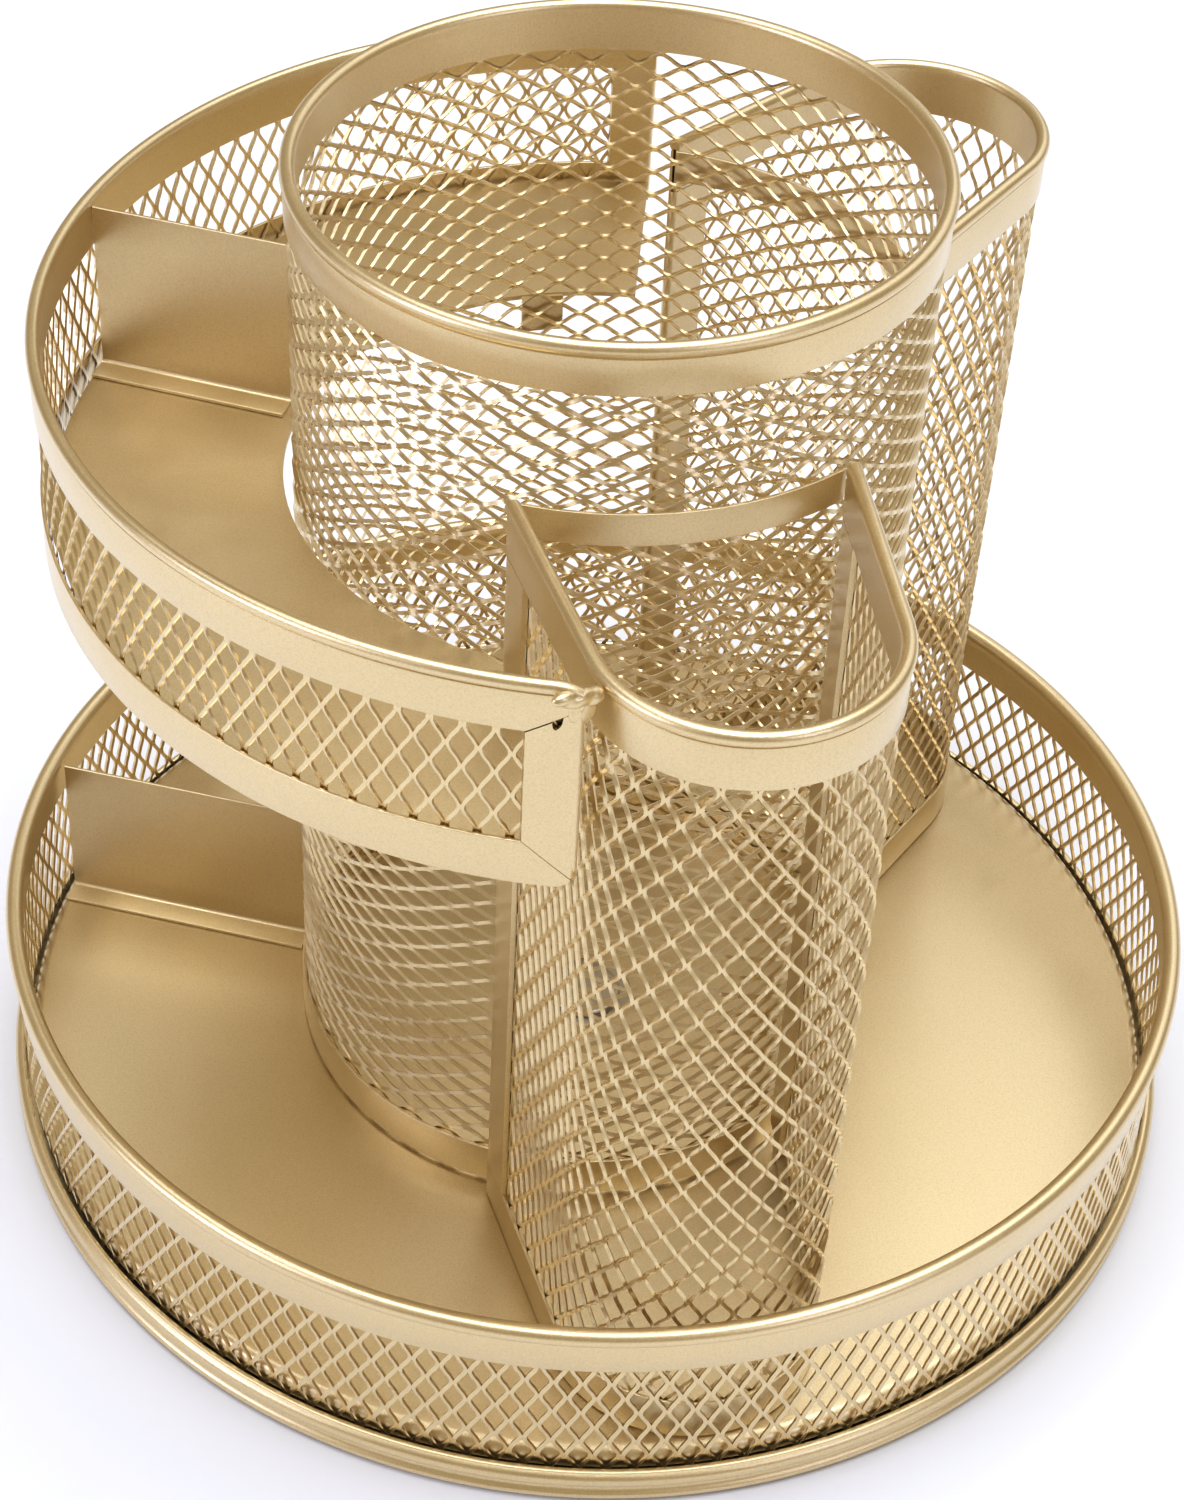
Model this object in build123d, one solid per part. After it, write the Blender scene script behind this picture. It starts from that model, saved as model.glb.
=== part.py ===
from build123d import *
import math
import os

# Turning desk organizer, in millimetres. The origin is the centre of the base on the desk,
# +Z is up and is the axis that the tray turns about, and -Y is the front.

# --- driving dimensions ---
SHEET = 0.6            # thickness of the painted steel strip that frames every mesh panel
MESH = 0.5             # thickness of the expanded-metal panels
LAYER = 0.1            # free space between a mesh panel and the strip folded over it

TRAY_RADIUS = 101.25   # middle of the tray's mesh wall
TRAY_RIM_Z = 38.9      # centre of the tray's rolled rim
TRAY_BEAD = 1.5        # radius of the roll
TRAY_BAND_Z = 31.4     # lower edge of the band under the roll
TRAY_MESH_FOOT = 5.6   # lower edge of the tray's mesh skirt
FLOOR_TOP = 8.5        # upper face of the tray floor
FLOOR_SHEET = 0.8
FLOOR_RADIUS = 100.7
FLOOR_EDGE_ROUND = 2.2  # outside radius of the floor's turned-down edge
FLOOR_EDGE_Z = 5.2     # lower edge of the turned-down edge
FLOOR_HOLE = 8.5       # hole over the pivot's head

CUP_X, CUP_Y = -2.0, 1.0   # axis of the centre cup
CUP_RADIUS = 48.7      # middle of the cup's mesh wall
CUP_RIM_Z = 181.8      # centre of its rolled rim
CUP_BEAD = 1.2
CUP_BAND_Z = 174.6     # lower edge of the band under the roll
FOOT_BAND = 8.5        # height of the band that each upright wall stands on

POCKET_FRONT = -74.5   # direction of the front pocket from the cup's axis, in degrees
POCKET_REAR = 51.3     # direction of the rear pocket
POCKET_CORNER_R = 51.4     # distance of a pocket's two inner corners from the cup's axis
POCKET_CORNER_ANGLE = 28.9  # half the angle between those corners
POCKET_END_AT = 77.6   # distance of the round end's centre from the cup's axis
POCKET_END_R = 21.5    # radius of the round end, at the middle of the mesh
POCKET_RIM_Z = 155.6   # centre of the rolled rim
POCKET_BEAD = 1.15
POCKET_BAND_Z = 147.2  # lower edge of the band under the roll
POCKET_BAR = 8.0       # width of the upright strips at the inner corners
BAR_NOSE = 0.1         # free space between a mesh's end and the strip folded round it
BACK_STRIP_Z = 149.8   # lower edge of the strip between the pocket and the cup
BACK_STRIP_R = 50.45   # its middle radius round the cup's axis

SHELF_RADIUS = 89.3    # middle of the half-round upper tray's mesh wall
SHELF_RIM_Z = 157.0    # centre of its rolled rim
SHELF_BEAD = 1.05
SHELF_BAND_Z = 149.4   # lower edge of the band under the roll
SHELF_FOOT_TOP = 129.6  # upper edge of the band round the shelf's floor
SHELF_FOOT_Z = 121.8   # lower edge of that band
SHELF_FLOOR_TOP = 126.5
SHELF_START = 88.0     # rear end of the upper tray, in degrees from +X
SHELF_END = 268.6      # front end, where it meets the front pocket
SHELF_END_BAR = 7.4    # width of the upright strip at each end of the wall
SHELF_INNER_R = 50.6   # cut-out for the cup

DIVIDER_HEIGHT = 30.0
DIVIDER_FLANGE = 5.0   # foot folded out of each divider's sheet

BASE_RADIUS = 103.8    # outside of the base pan's rolled rim
BASE_BULGE = 1.2       # how far the rolled rim swells past its own wall
BASE_RIM_TOP = 6.6
BASE_RIM_Z = 0.6       # the rolled rim clears the desk by this much
PAN_Z = 1.6            # underside of the base pan
PAN_SHEET = 0.7

BALL_CIRCLE = 55.0     # radius of the circle that the balls run on
BALL_RADIUS = 1.4
BALL_COUNT = 24
RACE_HALF_WIDTH = 7.0
RACE_THICKNESS = 1.2
RACE_TO_BALL = 0.78    # from a race's face to the middle of the balls
GROOVE_RADIUS = 1.5
LOWER_RACE_Z = PAN_Z + PAN_SHEET
BALL_Z = LOWER_RACE_Z + RACE_THICKNESS + RACE_TO_BALL
UPPER_RACE_Z = BALL_Z + RACE_TO_BALL
CAGE_THICKNESS = 0.5
CAGE_HALF_WIDTH = 2.6
CAGE_PLAY = 0.08       # free space round each ball in its cage
PLATE_RADIUS = 72.0    # turntable plate under the tray floor
PLATE_Z = UPPER_RACE_Z + RACE_THICKNESS + 0.04
PLATE_TOP = FLOOR_TOP - FLOOR_SHEET - 0.05
RIVET_COUNT = 6
RIVET_HOLE = 1.0
RIVET_SHANK = 0.97
RIVET_HEAD = 1.9
RIVET_HEAD_HEIGHT = 0.4
RIVET_RECESS = 0.45    # depth of the plate's recess over each rivet head
LOWER_RIVET_CIRCLE = BALL_CIRCLE - 5.0
UPPER_RIVET_CIRCLE = BALL_CIRCLE + 5.0
PIVOT_RADIUS = 3.0
PIVOT_CLEARANCE = 0.06
PIVOT_FOOT_RADIUS = 7.0
PIVOT_FOOT = 0.7       # thickness of the pivot's foot under the pan
PIVOT_HEAD_RADIUS = 6.5
PIVOT_HEAD_Z = FLOOR_TOP - 0.75
PIVOT_HEAD_TOP = FLOOR_TOP + 0.35
PIVOT_COLLAR = 0.8
BUSH_WALL = 1.2
BUSH_FLANGE = 1.8
BUSH_FLANGE_HEIGHT = 0.8
FOOT_COUNT = 6
FOOT_CIRCLE = 84.0
FOOT_RADIUS = 7.0


# --- helpers ---
def polar(radius, angle, x=0.0, y=0.0):
    """The point at this radius and angle (degrees) round x, y."""
    turn = math.radians(angle)
    return x + radius * math.cos(turn), y + radius * math.sin(turn)


def move(shape, x=0.0, y=0.0, z=0.0):
    return Pos(x, y, z) * shape


def tube(outer, inner, low, high, x=0.0, y=0.0):
    """An upright ring of rectangular section."""
    ring = Circle(outer) - Circle(inner)
    return move(extrude(ring, high - low), x, y, low)


def disc(radius, low, high, x=0.0, y=0.0):
    return move(extrude(Circle(radius), high - low), x, y, low)


def section(*points):
    """A face in the XZ plane, for turning round Z."""
    return make_face(Polyline(*[(px, 0, pz) for px, pz in points], close=True))


def rolled_rim(radius, bead_z, bead, band_z, start=0.0, sweep_angle=360.0):
    """The strip folded over a round mesh wall: two legs, with a roll along the top."""
    near = MESH / 2 + LAYER
    far = near + SHEET
    channel = section(
        (radius - far, band_z), (radius - near, band_z), (radius - near, bead_z - bead * 0.6),
        (radius + near, bead_z - bead * 0.6), (radius + near, band_z), (radius + far, band_z),
        (radius + far, bead_z), (radius - far, bead_z),
    )
    roll = Plane.XZ * Pos(radius, bead_z) * Circle(bead)
    ring = revolve(channel, Axis.Z, sweep_angle) + revolve(roll, Axis.Z, sweep_angle)
    return Rot(0, 0, start) * ring


def arc_strip(inner, outer, low, high, start, end, x=0.0, y=0.0):
    """A piece of an upright ring between two angles, in degrees."""
    face = section((inner, low), (outer, low), (outer, high), (inner, high))
    strip = Rot(0, 0, start) * revolve(face, Axis.Z, end - start)
    return move(strip, x, y)


def spots(count, radius, angle=0.0):
    """Evenly spaced places round a circle."""
    return [polar(radius, angle + i * 360.0 / count) for i in range(count)]


# --- pocket outline: two straight sides that close in a little, and a round end ---
def pocket_corners():
    """Half of the outline, in the pocket's own frame, +X outwards from the cup."""
    corner_x, corner_y = polar(POCKET_CORNER_R, POCKET_CORNER_ANGLE)
    to_centre = math.hypot(POCKET_END_AT - corner_x, corner_y)
    aim = math.atan2(-corner_y, POCKET_END_AT - corner_x)
    side = aim + math.asin(POCKET_END_R / to_centre)
    return corner_x, corner_y, side


def pocket_path(offset):
    """The wall's line, moved outwards by offset. Returns its corner, tangent and end points."""
    corner_x, corner_y, side = pocket_corners()
    out_x, out_y = -math.sin(side), math.cos(side)
    corner = (corner_x + offset * out_x, corner_y + offset * out_y)
    reach = POCKET_END_R + offset
    tangent = (POCKET_END_AT + reach * out_x, reach * out_y)
    return corner, tangent, (POCKET_END_AT + reach, 0.0)


def mirrored(point):
    return point[0], -point[1]


def pocket_line(offset, start=0.0):
    """The wall's line as edges, from one inner corner round to the other."""
    corner, tangent, end = pocket_path(offset)
    side = Vector(*tangent) - Vector(*corner)
    first = Vector(*corner) + side.normalized() * start
    first = (first.X, first.Y)
    return [
        Line(first, tangent),
        ThreePointArc(tangent, end, mirrored(tangent)),
        Line(mirrored(tangent), mirrored(first)),
    ]


def pocket_wall(inside, outside, low, high, start=0.0):
    """A strip that follows the pocket's wall between two offsets and two heights."""
    outer = pocket_line(outside, start)
    inner = pocket_line(inside, start)
    ends = [Line(outer[0] @ 0, inner[0] @ 0), Line(outer[2] @ 1, inner[2] @ 1)]
    return move(extrude(make_face(outer + inner + ends), high - low), z=low)


def pocket_rim():
    """Strip folded over the pocket's mesh, with its roll."""
    near = MESH / 2 + LAYER
    far = near + SHEET
    legs = pocket_wall(near, far, POCKET_BAND_Z, POCKET_RIM_Z)
    legs += pocket_wall(-far, -near, POCKET_BAND_Z, POCKET_RIM_Z)
    lid = pocket_wall(-far, far, POCKET_RIM_Z - POCKET_BEAD * 0.6, POCKET_RIM_Z)
    path = Wire(pocket_line(0.0))
    path = Pos(0, 0, POCKET_RIM_Z) * path
    start = Plane(origin=path @ 0, z_dir=path % 0)
    roll = sweep(start * Circle(POCKET_BEAD), path)
    return legs + lid + roll


def pocket_foot():
    """Band that the pocket's mesh stands in, on the tray floor."""
    near = MESH / 2 + LAYER
    return pocket_wall(near, near + SHEET, FLOOR_TOP, FLOOR_TOP + FOOT_BAND)


def pocket_mesh():
    gap = 0.3
    return pocket_wall(-MESH / 2, MESH / 2, FLOOR_TOP + gap, POCKET_RIM_Z - POCKET_BEAD - gap)


def pocket_bar(side):
    """Upright strip folded round the mesh's end at one inner corner. side is 1 or -1."""
    near = MESH / 2 + LAYER
    far = near + SHEET
    corner, tangent, _ = pocket_path(0.0)
    way = (Vector(*tangent) - Vector(*corner)).normalized()
    out = Vector(-way.Y, way.X)
    section_points = [
        (POCKET_BAR, far), (-BAR_NOSE - SHEET, far), (-BAR_NOSE - SHEET, -far), (POCKET_BAR, -far),
        (POCKET_BAR, -near), (-BAR_NOSE, -near), (-BAR_NOSE, near), (POCKET_BAR, near),
    ]
    points = [Vector(*corner) + way * s + out * t for s, t in section_points]
    points = [(p.X, p.Y if side > 0 else -p.Y) for p in points]
    face = make_face(Polyline(*points, close=True))
    low = FLOOR_TOP + FOOT_BAND
    return move(extrude(face, POCKET_BAND_Z - low), z=low)


def pocket_back_strip():
    """Curved strip that joins the two inner corners and lies round the cup."""
    half = SHEET / 2
    reach = POCKET_CORNER_ANGLE - 0.9
    top = POCKET_RIM_Z - 0.2
    return arc_strip(BACK_STRIP_R - half, BACK_STRIP_R + half, BACK_STRIP_Z, top, -reach, reach)


def place_pocket(shape, direction):
    return Pos(CUP_X, CUP_Y, 0) * Rot(0, 0, direction) * shape


# --- turning mechanism ---
def rivet_holes(circle, angle, low, high):
    """Plugs to cut out of a sheet for its ring of rivets."""
    return [disc(RIVET_HOLE, low, high, x, y) for x, y in spots(RIVET_COUNT, circle, angle)]


def base_pan():
    """Pressed pan with a rolled rim, which stands on the desk and hides the bearing."""
    wall = BASE_RADIUS - BASE_BULGE
    inner = wall - PAN_SHEET
    middle = (BASE_RIM_Z + BASE_RIM_TOP) / 2
    outline = [
        Line((inner, PAN_Z), (inner, BASE_RIM_TOP)),
        Line((inner, BASE_RIM_TOP), (wall, BASE_RIM_TOP)),
        ThreePointArc((wall, BASE_RIM_TOP), (BASE_RADIUS, middle), (wall, BASE_RIM_Z)),
        Line((wall, BASE_RIM_Z), (inner, PAN_Z)),
    ]
    rim = revolve(Plane.XZ * make_face(outline), Axis.Z)
    top = PAN_Z + PAN_SHEET
    pan = disc(wall, PAN_Z, top) + rim - disc(PIVOT_RADIUS, PAN_Z, top)
    for plug in rivet_holes(LOWER_RIVET_CIRCLE, 15.0, PAN_Z, top):
        pan -= plug
    return pan


def race(low, rivet_circle, angle):
    """Flat ring with the groove that the balls run in, and holes for its rivets."""
    high = low + RACE_THICKNESS
    ring = tube(BALL_CIRCLE + RACE_HALF_WIDTH, BALL_CIRCLE - RACE_HALF_WIDTH, low, high)
    ring -= Pos(0, 0, BALL_Z) * Torus(BALL_CIRCLE, GROOVE_RADIUS)
    for plug in rivet_holes(rivet_circle, angle, low, high):
        ring -= plug
    return ring


def lower_race():
    """Race riveted to the base pan."""
    return race(LOWER_RACE_Z, LOWER_RIVET_CIRCLE, 15.0)


def upper_race():
    """Race riveted to the turntable plate."""
    return race(UPPER_RACE_Z, UPPER_RIVET_CIRCLE, 0.0)


def rivet(x, y, low, high):
    """Flat rivet: a shank between two heads."""
    lower_head = disc(RIVET_HEAD, low - RIVET_HEAD_HEIGHT, low, x, y)
    upper_head = disc(RIVET_HEAD, high, high + RIVET_HEAD_HEIGHT, x, y)
    return disc(RIVET_SHANK, low, high, x, y) + lower_head + upper_head


def lower_race_rivets():
    low, high = PAN_Z, LOWER_RACE_Z + RACE_THICKNESS
    places = spots(RIVET_COUNT, LOWER_RIVET_CIRCLE, 15.0)
    return Compound([rivet(x, y, low, high) for x, y in places])


def plate_rivets():
    """Rivets through the upper race and the turntable plate."""
    low, high = UPPER_RACE_Z, PLATE_TOP - RIVET_RECESS
    places = spots(RIVET_COUNT, UPPER_RIVET_CIRCLE)
    return Compound([rivet(x, y, low, high) for x, y in places])


def bearing_balls():
    places = spots(BALL_COUNT, BALL_CIRCLE)
    return Compound([Pos(x, y, BALL_Z) * Sphere(BALL_RADIUS) for x, y in places])


def ball_cage():
    """Thin ring that keeps the balls apart."""
    low = BALL_Z - CAGE_THICKNESS / 2
    high = low + CAGE_THICKNESS
    cage = tube(BALL_CIRCLE + CAGE_HALF_WIDTH, BALL_CIRCLE - CAGE_HALF_WIDTH, low, high)
    for x, y in spots(BALL_COUNT, BALL_CIRCLE):
        cage -= disc(BALL_RADIUS + CAGE_PLAY, low, high, x, y)
    return cage


def turntable_plate():
    """Plate under the tray floor that carries the upper race and turns on the pivot."""
    plate = disc(PLATE_RADIUS, PLATE_Z, PLATE_TOP)
    plate -= disc(PIVOT_RADIUS + PIVOT_CLEARANCE + BUSH_WALL, PLATE_Z, PLATE_TOP)
    for plug in rivet_holes(UPPER_RIVET_CIRCLE, 0.0, PLATE_Z, PLATE_TOP):
        plate -= plug
    for x, y in spots(RIVET_COUNT, UPPER_RIVET_CIRCLE):
        plate -= disc(RIVET_HEAD + 0.1, PLATE_TOP - RIVET_RECESS, PLATE_TOP, x, y)
    return plate


def pivot_bush():
    """Sleeve in the turntable plate, a running fit on the pivot."""
    bore = PIVOT_RADIUS + PIVOT_CLEARANCE
    low = PAN_Z + PAN_SHEET + PIVOT_COLLAR + 0.2
    sleeve = tube(bore + BUSH_WALL, bore, low, PLATE_TOP)
    return sleeve + tube(bore + BUSH_WALL + BUSH_FLANGE, bore, low, low + BUSH_FLANGE_HEIGHT)


def pivot_pin():
    """Centre rivet with a collar over the pan, which holds the tray down on its base."""
    foot = disc(PIVOT_FOOT_RADIUS, PAN_Z - PIVOT_FOOT, PAN_Z)
    shank = disc(PIVOT_RADIUS, PAN_Z - PIVOT_FOOT, PIVOT_HEAD_Z)
    top = PAN_Z + PAN_SHEET
    collar = disc(PIVOT_HEAD_RADIUS - 0.5, top, top + PIVOT_COLLAR)
    head = disc(PIVOT_HEAD_RADIUS, PIVOT_HEAD_Z, PIVOT_HEAD_TOP)
    head = fillet(head.edges().group_by(Axis.Z)[-1], 0.6)
    return foot + shank + collar + head


def rubber_feet():
    """Pads stuck under the base pan."""
    feet = []
    for x, y in spots(FOOT_COUNT, FOOT_CIRCLE, 30.0):
        pad = disc(FOOT_RADIUS, 0.0, PAN_Z, x, y)
        feet.append(fillet(pad.edges().group_by(Axis.Z)[0], 0.4))
    return Compound(feet)


# --- tray ---
def tray_floor():
    """Pressed disc with its edge turned down."""
    arc_centre = FLOOR_RADIUS - FLOOR_EDGE_ROUND
    knee = FLOOR_TOP - FLOOR_EDGE_ROUND
    inside = FLOOR_EDGE_ROUND - FLOOR_SHEET
    bend = math.sqrt(0.5)
    outline = [
        Line((FLOOR_HOLE, FLOOR_TOP), (arc_centre, FLOOR_TOP)),
        ThreePointArc((arc_centre, FLOOR_TOP),
                      (arc_centre + FLOOR_EDGE_ROUND * bend, knee + FLOOR_EDGE_ROUND * bend),
                      (FLOOR_RADIUS, knee)),
        Line((FLOOR_RADIUS, knee), (FLOOR_RADIUS, FLOOR_EDGE_Z)),
        Line((FLOOR_RADIUS, FLOOR_EDGE_Z), (FLOOR_RADIUS - FLOOR_SHEET, FLOOR_EDGE_Z)),
        Line((FLOOR_RADIUS - FLOOR_SHEET, FLOOR_EDGE_Z), (FLOOR_RADIUS - FLOOR_SHEET, knee)),
        ThreePointArc((FLOOR_RADIUS - FLOOR_SHEET, knee),
                      (arc_centre + inside * bend, knee + inside * bend),
                      (arc_centre, FLOOR_TOP - FLOOR_SHEET)),
        Line((arc_centre, FLOOR_TOP - FLOOR_SHEET), (FLOOR_HOLE, FLOOR_TOP - FLOOR_SHEET)),
        Line((FLOOR_HOLE, FLOOR_TOP - FLOOR_SHEET), (FLOOR_HOLE, FLOOR_TOP)),
    ]
    return revolve(Plane.XZ * make_face(outline), Axis.Z)


def tray_mesh():
    return tube(TRAY_RADIUS + MESH / 2, TRAY_RADIUS - MESH / 2,
                TRAY_MESH_FOOT, TRAY_RIM_Z - TRAY_BEAD - 0.2)


def tray_rim():
    return rolled_rim(TRAY_RADIUS, TRAY_RIM_Z, TRAY_BEAD, TRAY_BAND_Z)


def folded_divider(inner, outer, floor_z):
    """Upright sheet from the cup to the wall, with a foot folded out towards the front."""
    x0, y0 = inner
    x1, y1 = outer
    length = math.hypot(x1 - x0, y1 - y0)
    angle = math.degrees(math.atan2(y1 - y0, x1 - x0))
    bend = 1.2
    top = floor_z + DIVIDER_HEIGHT
    outline = [
        Line((0, top), (SHEET, top)),
        Line((SHEET, top), (SHEET, floor_z + bend)),
        ThreePointArc((SHEET, floor_z + bend),
                      (SHEET + (bend - SHEET) * (1 - math.sqrt(0.5)),
                       floor_z + SHEET + (bend - SHEET) * (1 - math.sqrt(0.5))),
                      (bend, floor_z + SHEET)),
        Line((bend, floor_z + SHEET), (DIVIDER_FLANGE, floor_z + SHEET)),
        Line((DIVIDER_FLANGE, floor_z + SHEET), (DIVIDER_FLANGE, floor_z)),
        Line((DIVIDER_FLANGE, floor_z), (bend, floor_z)),
        ThreePointArc((bend, floor_z), (bend * (1 - math.sqrt(0.5)),
                                        floor_z + bend * (1 - math.sqrt(0.5))),
                      (0, floor_z + bend)),
        Line((0, floor_z + bend), (0, top)),
    ]
    profile = Plane(origin=(0, 0, 0), x_dir=(0, 1, 0), z_dir=(1, 0, 0)) * make_face(outline)
    return Pos(x0, y0, 0) * Rot(0, 0, angle) * extrude(profile, length)


def tray_divider():
    return folded_divider((-51.8, 10.2), (-97.4, 19.3), FLOOR_TOP + 0.05)


# --- centre cup ---
def cup_mesh():
    return tube(CUP_RADIUS + MESH / 2, CUP_RADIUS - MESH / 2,
                FLOOR_TOP + 0.3, CUP_RIM_Z - CUP_BEAD - 0.2, CUP_X, CUP_Y)


def cup_rim():
    return move(rolled_rim(CUP_RADIUS, CUP_RIM_Z, CUP_BEAD, CUP_BAND_Z), CUP_X, CUP_Y)


def cup_foot():
    near = MESH / 2 + LAYER
    return tube(CUP_RADIUS + near + SHEET, CUP_RADIUS + near,
                FLOOR_TOP, FLOOR_TOP + FOOT_BAND, CUP_X, CUP_Y)


# --- half-round upper tray ---
def shelf_outline():
    """Plan of the shelf: half a ring, cut back round the cup and the two pockets."""
    outer = SHELF_RADIUS - MESH / 2 - LAYER - SHEET
    face = Circle(outer) - Pos(CUP_X, CUP_Y) * Circle(SHELF_INNER_R)
    far = 3 * SHELF_RADIUS
    keep = make_face(Polyline(
        (0, 0), polar(far, SHELF_START), (-far, far), (-far, -far), polar(far, SHELF_END),
        close=True))
    face = face & keep
    for direction in (POCKET_FRONT, POCKET_REAR):
        line = pocket_line(MESH / 2 + LAYER + SHEET + 0.4, -2.0)
        closing = Line(line[2] @ 1, line[0] @ 0)
        face -= Pos(CUP_X, CUP_Y) * Rot(0, 0, direction) * make_face(line + [closing])
    return max(face.faces(), key=lambda f: f.area)


def shelf_floor():
    low = SHELF_FLOOR_TOP - FLOOR_SHEET
    return move(extrude(shelf_outline(), FLOOR_SHEET), z=low)


def shelf_mesh():
    margin = math.degrees((SHEET + BAR_NOSE) / SHELF_RADIUS)
    half = MESH / 2
    return arc_strip(SHELF_RADIUS - half, SHELF_RADIUS + half, SHELF_FOOT_Z + 0.6,
                     SHELF_RIM_Z - SHELF_BEAD - 0.2, SHELF_START + margin, SHELF_END - margin)


def shelf_rim():
    return rolled_rim(SHELF_RADIUS, SHELF_RIM_Z, SHELF_BEAD, SHELF_BAND_Z,
                      SHELF_START, SHELF_END - SHELF_START)


def shelf_foot():
    near = SHELF_RADIUS + MESH / 2 + LAYER
    return arc_strip(near, near + SHEET, SHELF_FOOT_Z, SHELF_FOOT_TOP, SHELF_START, SHELF_END)


def shelf_end_bar(at_front):
    """Upright strip folded round the mesh's end, which closes the frame of the wall there."""
    near = MESH / 2 + LAYER
    far = near + SHEET
    width = math.degrees(SHELF_END_BAR / SHELF_RADIUS)
    fold = math.degrees(SHEET / SHELF_RADIUS)
    first = SHELF_END - width if at_front else SHELF_START
    last = SHELF_END if at_front else SHELF_START + fold
    heights = (SHELF_FOOT_TOP, SHELF_BAND_Z)
    legs = [
        arc_strip(SHELF_RADIUS + near, SHELF_RADIUS + far, *heights, first, first + width),
        arc_strip(SHELF_RADIUS - far, SHELF_RADIUS - near, *heights, first, first + width),
    ]
    return legs[0] + legs[1] + arc_strip(SHELF_RADIUS - far, SHELF_RADIUS + far, *heights,
                                         last - fold, last)


def shelf_divider():
    return folded_divider((-52.9, 14.2), (-85.3, 22.6), SHELF_FLOOR_TOP + 0.05)


def shelf_tab():
    """Tongue turned down from the shelf's floor and welded to the cup."""
    middle, width, drop = 104.0, 7.3, 6.0
    half = math.degrees(width / 2 / SHELF_INNER_R)
    tongue = arc_strip(SHELF_INNER_R - 1.1, SHELF_INNER_R - 0.5,
                       SHELF_FLOOR_TOP - FLOOR_SHEET - drop, SHELF_FLOOR_TOP,
                       middle - half, middle + half, CUP_X, CUP_Y)
    return tongue


# --- welds ---
def weld_beads():
    """Lumps of weld that join the rims of the upper tray and the front pocket."""
    x0, y0 = polar(SHELF_RADIUS, SHELF_END - 0.4)
    centre = polar(POCKET_END_AT, POCKET_FRONT, CUP_X, CUP_Y)
    away = math.degrees(math.atan2(y0 - centre[1], x0 - centre[0]))
    reach = math.hypot(x0 - centre[0], y0 - centre[1])
    near, far = POCKET_END_R + POCKET_BEAD, reach
    x1, y1 = polar((near + far) / 2 + 0.3, away, *centre)
    lump = Rot(0, 0, away) * Box(far - near - 0.4, 2.2, 1.8)
    lump = fillet(lump.edges(), 0.7)
    return move(lump, x1, y1, SHELF_RIM_Z - 0.7)


def make_parts():
    parts = {
        "base_pan": base_pan(), "rubber_feet": rubber_feet(), "pivot_pin": pivot_pin(),
        "lower_race": lower_race(), "lower_race_rivets": lower_race_rivets(),
        "bearing_balls": bearing_balls(), "ball_cage": ball_cage(),
        "upper_race": upper_race(), "plate_rivets": plate_rivets(),
        "turntable_plate": turntable_plate(), "pivot_bush": pivot_bush(),
        "tray_floor": tray_floor(), "tray_mesh": tray_mesh(), "tray_rim": tray_rim(),
        "tray_divider": tray_divider(),
        "cup_mesh": cup_mesh(), "cup_rim": cup_rim(), "cup_foot_band": cup_foot(),
        "shelf_floor": shelf_floor(), "shelf_mesh": shelf_mesh(), "shelf_rim": shelf_rim(),
        "shelf_foot_band": shelf_foot(), "shelf_front_bar": shelf_end_bar(True),
        "shelf_rear_bar": shelf_end_bar(False), "shelf_divider": shelf_divider(),
        "shelf_tab": shelf_tab(), "weld_beads": weld_beads(),
    }
    for name, direction in (("front", POCKET_FRONT), ("rear", POCKET_REAR)):
        pieces = {
            "rim": pocket_rim(), "mesh": pocket_mesh(), "foot_band": pocket_foot(),
            "left_bar": pocket_bar(-1), "right_bar": pocket_bar(1),
            "back_strip": pocket_back_strip(),
        }
        for piece, shape in pieces.items():
            parts[f"{name}_pocket_{piece}"] = place_pocket(shape, direction)
    return parts


os.makedirs("parts", exist_ok=True)
for node, shape in make_parts().items():
    export_step(shape, f"parts/{node}.step")
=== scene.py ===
"""Looks of the lazy susan organizer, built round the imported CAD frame.

Sizes named in millimetres are multiplied by MM where they become geometry. A wall is described by
(along, up, out): the way along it to the right as seen from outside, the height, and the distance
out of its middle surface.
"""

import math

import bpy
import numpy as np
from mathutils import Matrix, Vector, noise


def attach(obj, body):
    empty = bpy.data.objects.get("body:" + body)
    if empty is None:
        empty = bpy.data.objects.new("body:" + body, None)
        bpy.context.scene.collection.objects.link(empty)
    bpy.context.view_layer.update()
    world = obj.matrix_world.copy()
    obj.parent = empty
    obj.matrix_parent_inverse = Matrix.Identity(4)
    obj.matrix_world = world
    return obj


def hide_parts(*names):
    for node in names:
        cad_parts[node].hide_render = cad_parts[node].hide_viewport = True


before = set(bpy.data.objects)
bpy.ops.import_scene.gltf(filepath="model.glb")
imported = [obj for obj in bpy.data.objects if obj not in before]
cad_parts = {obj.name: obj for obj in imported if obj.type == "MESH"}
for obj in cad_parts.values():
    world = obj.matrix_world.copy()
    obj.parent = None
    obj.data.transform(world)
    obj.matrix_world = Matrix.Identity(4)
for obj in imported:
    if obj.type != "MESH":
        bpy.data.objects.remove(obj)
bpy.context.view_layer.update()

MM = 0.001

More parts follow.
